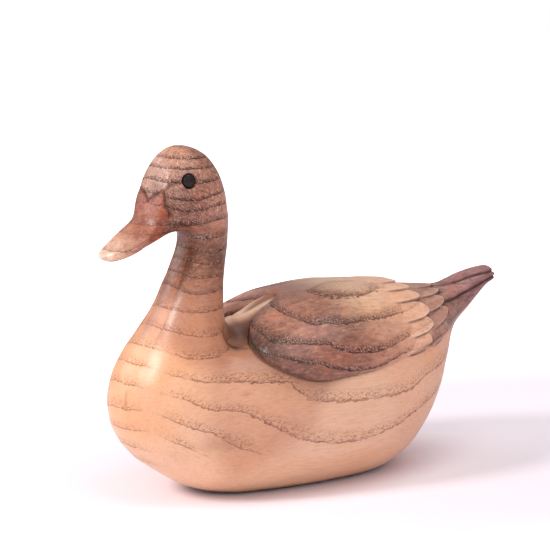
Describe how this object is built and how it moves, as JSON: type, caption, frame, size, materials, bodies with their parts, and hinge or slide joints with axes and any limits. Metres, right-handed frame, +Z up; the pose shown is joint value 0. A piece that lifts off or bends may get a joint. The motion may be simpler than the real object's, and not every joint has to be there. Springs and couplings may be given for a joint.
{
  "type": "animal figurine",
  "caption": "Hand-carved wooden duck with a flat foot, folded wings, overlapping feathers, a grooved tail and let-in round dark eyes.",
  "frame": {"origin": "middle of the duck's box on the surface that it stands on", "axes": "-Y toward the bill, +Y toward the tail, +X toward the duck's own left side, +Z up"},
  "size_m": [0.0874, 0.196, 0.1446],
  "materials": {
    "wood": "satin varnish over stained ring-porous wood",
    "dark_eye": "gloss"
  },
  "bodies": {
    "root": {"carved_duck": "wood", "eye_left": "dark_eye", "eye_right": "dark_eye"}
  },
  "joints": []
}
